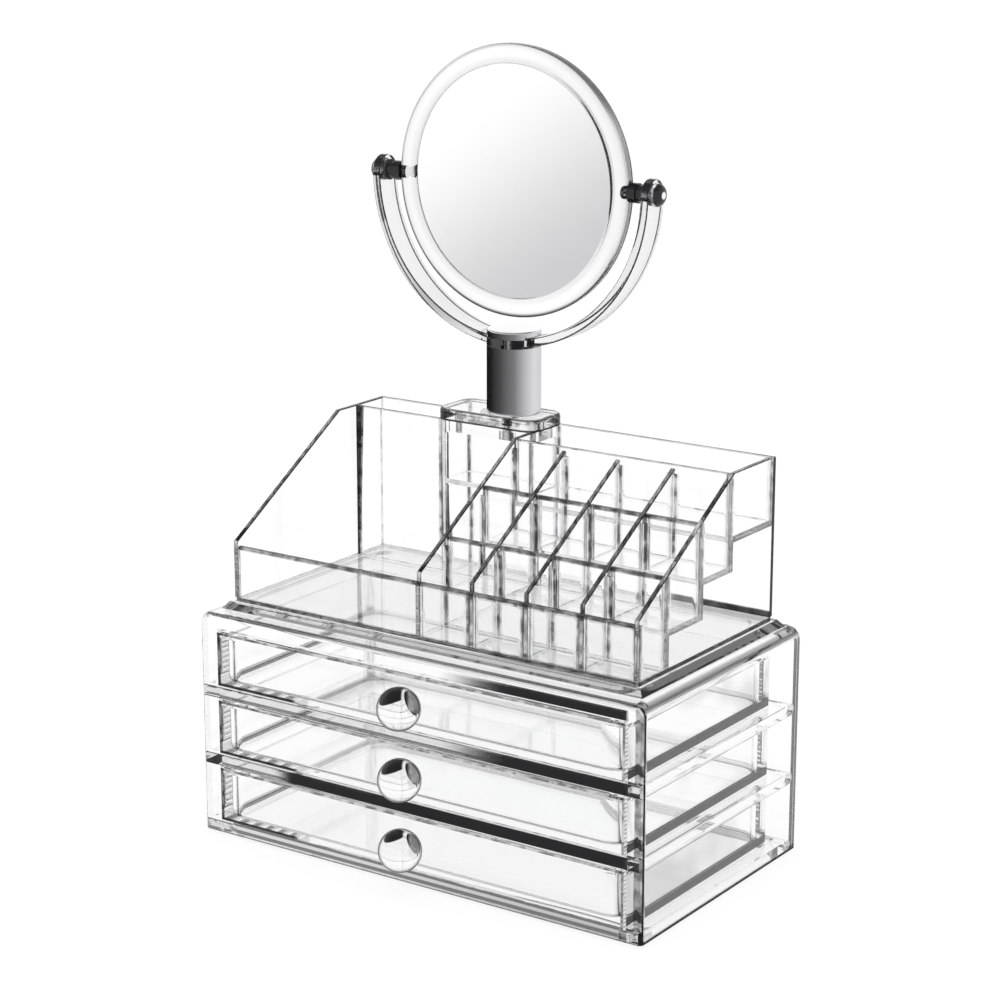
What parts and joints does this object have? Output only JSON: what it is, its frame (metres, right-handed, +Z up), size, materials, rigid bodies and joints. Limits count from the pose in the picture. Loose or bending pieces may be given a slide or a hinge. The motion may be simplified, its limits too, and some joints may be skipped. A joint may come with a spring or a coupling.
{
  "type": "makeup organizer",
  "caption": "Clear acrylic makeup organizer: drawers with ball knobs under a lift-off tray of stepped lipstick cells, and a round double-sided mirror that tilts and swivels on a chrome post.",
  "frame": {"origin": "on the table, under the middle of the overall box", "axes": "+Z up, the drawers open toward -Y, the lipstick cells are at +X"},
  "size_m": [0.238, 0.1506, 0.3597],
  "materials": {
    "chest_acrylic": "clear, polished",
    "drawer_acrylic": "clear, polished",
    "knob_acrylic": "clear, polished",
    "tray_acrylic": "clear, polished",
    "foot_acrylic": "clear, polished",
    "yoke_acrylic": "clear, polished",
    "frame_acrylic": "clear, polished",
    "post_chrome": "polished chrome plate",
    "pivot_black_chrome": "polished black chrome plate",
    "friction_rubber": "matt",
    "core_plastic": "as moulded",
    "screw_steel": "plain steel",
    "mirror_glass": "silvered glass"
  },
  "bodies": {
    "chest": {"chest_shell": "chest_acrylic", "chest_floor": "chest_acrylic", "lower_shelf": "chest_acrylic", "upper_shelf": "chest_acrylic", "chest_back_panel": "chest_acrylic"},
    "lower_drawer": {"lower_drawer": "drawer_acrylic", "lower_drawer_knob": "knob_acrylic"},
    "middle_drawer": {"middle_drawer": "drawer_acrylic", "middle_drawer_knob": "knob_acrylic"},
    "upper_drawer": {"upper_drawer": "drawer_acrylic", "upper_drawer_knob": "knob_acrylic"},
    "tray": {"tray_base": "tray_acrylic", "tray_left_wall": "tray_acrylic", "tray_front_wall": "tray_acrylic", "tray_back_wall": "tray_acrylic", "tray_centre_wall": "tray_acrylic", "pocket_partition": "tray_acrylic", "column_side": "tray_acrylic", "column_floor": "tray_acrylic", "rack_step_1": "tray_acrylic", "rack_step_2": "tray_acrylic", "back_pocket_shelf": "tray_acrylic", "rack_cross_wall_1": "tray_acrylic", "rack_cross_wall_2": "tray_acrylic", "rack_cross_wall_3": "tray_acrylic", "rack_divider_1": "tray_acrylic", "rack_divider_2": "tray_acrylic", "rack_divider_3": "tray_acrylic", "rack_end_sheet": "tray_acrylic"},
    "mirror_stand": {"mirror_foot": "foot_acrylic", "foot_screw": "screw_steel", "post_tube": "post_chrome", "post_core": "core_plastic", "post_cap": "post_chrome"},
    "yoke": {"yoke": "yoke_acrylic"},
    "mirror": {"mirror_frame": "frame_acrylic", "front_mirror": "mirror_glass", "magnifying_mirror": "mirror_glass", "left_pivot_screw": "pivot_black_chrome", "right_pivot_screw": "pivot_black_chrome", "left_pivot_collar": "pivot_black_chrome", "right_pivot_collar": "pivot_black_chrome", "left_friction_washer": "friction_rubber", "right_friction_washer": "friction_rubber"}
  },
  "joints": [
    {"name": "lower_drawer_slide", "type": "slide", "parent": "chest", "child": "lower_drawer", "axis": [0, -1, 0], "range_m": [0, 0.1]},
    {"name": "middle_drawer_slide", "type": "slide", "parent": "chest", "child": "middle_drawer", "axis": [0, -1, 0], "range_m": [0, 0.1]},
    {"name": "upper_drawer_slide", "type": "slide", "parent": "chest", "child": "upper_drawer", "axis": [0, -1, 0], "range_m": [0, 0.1]},
    {"name": "tray_lift", "type": "slide", "parent": "chest", "child": "tray", "axis": [0, 0, 1], "range_m": [0, 0.05]},
    {"name": "mirror_lift", "type": "slide", "parent": "tray", "child": "mirror_stand", "axis": [0, 0, 1], "range_m": [0, 0.04]},
    {"name": "mirror_swivel", "type": "hinge", "parent": "mirror_stand", "child": "yoke", "pos_m": [-0.023, 0.05647, 0.22272], "axis": [0, 0, 1], "continuous": true},
    {"name": "mirror_tilt", "type": "hinge", "parent": "yoke", "child": "mirror", "pos_m": [-0.023, 0.05647, 0.29772], "axis": [1, 0, 0], "continuous": true}
  ]
}
